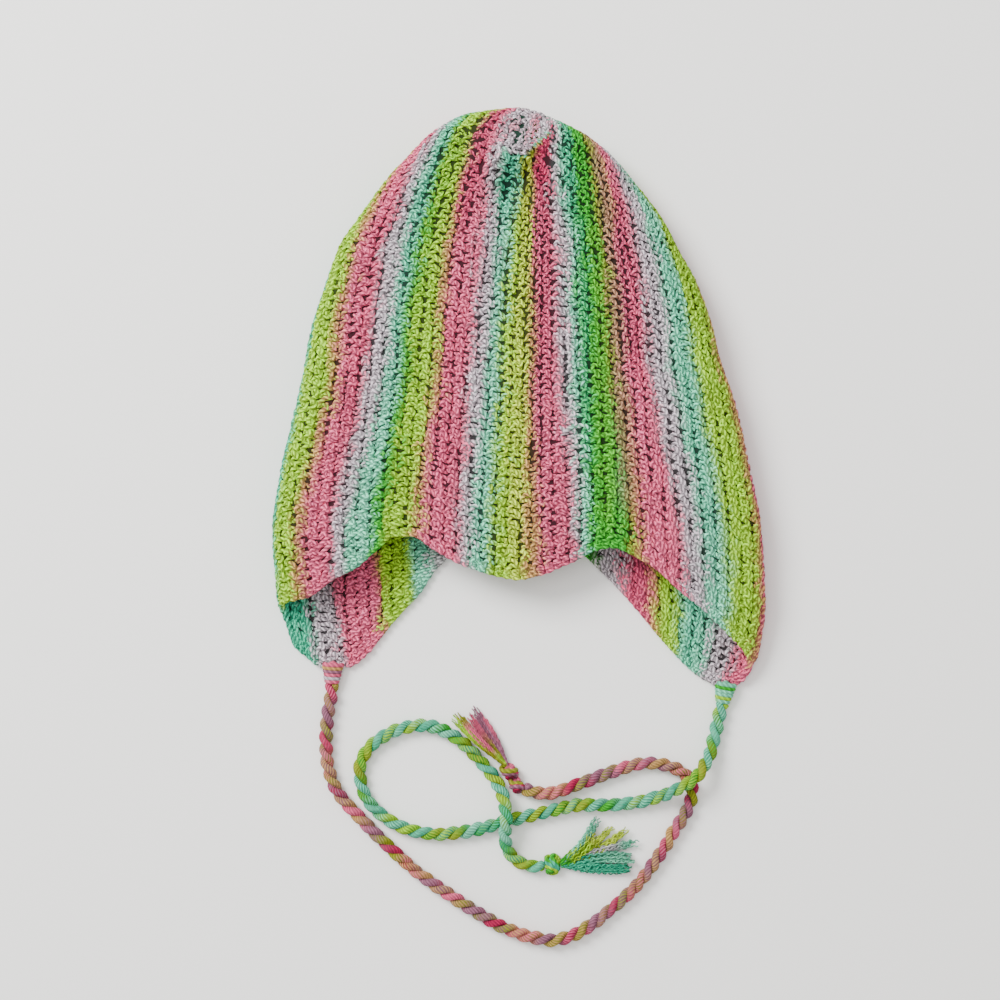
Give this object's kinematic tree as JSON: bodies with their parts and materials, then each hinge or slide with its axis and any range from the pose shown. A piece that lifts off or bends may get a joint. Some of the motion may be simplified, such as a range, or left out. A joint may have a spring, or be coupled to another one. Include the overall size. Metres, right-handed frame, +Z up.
{
  "type": "knitted baby bonnet",
  "caption": "Garter-stitch baby bonnet with earflaps, a gathered crown and twisted cord ties ending in knots and tassels, lying flat.",
  "frame": {"origin": "on the surface that the bonnet lies on, under the middle of the cap and its tie roots", "axes": "+X to the wearer's left flap side as seen lying, +Y from the brim to the crown, +Z up from the surface"},
  "size_m": [0.1996, 0.3399, 0.0281],
  "materials": {
    "knit": "fuzzy self-striping yarn",
    "rose_wrap": "fuzzy self-striping yarn",
    "mint_wrap": "fuzzy self-striping yarn",
    "rose_cord": "fuzzy self-striping yarn",
    "green_cord": "fuzzy self-striping yarn",
    "rose_knot": "fuzzy self-striping yarn",
    "green_knot": "fuzzy self-striping yarn",
    "rose_ends": "fuzzy self-striping yarn",
    "green_ends": "fuzzy self-striping yarn"
  },
  "bodies": {
    "root": {"knitted_cap": "knit", "left_tie_root": "rose_wrap", "right_tie_root": "mint_wrap", "left_tie_cord": "rose_cord", "right_tie_cord": "green_cord", "left_tie_knot": "rose_knot", "right_tie_knot": "green_knot", "left_tie_tassel": "rose_ends", "right_tie_tassel": "green_ends"}
  },
  "joints": []
}
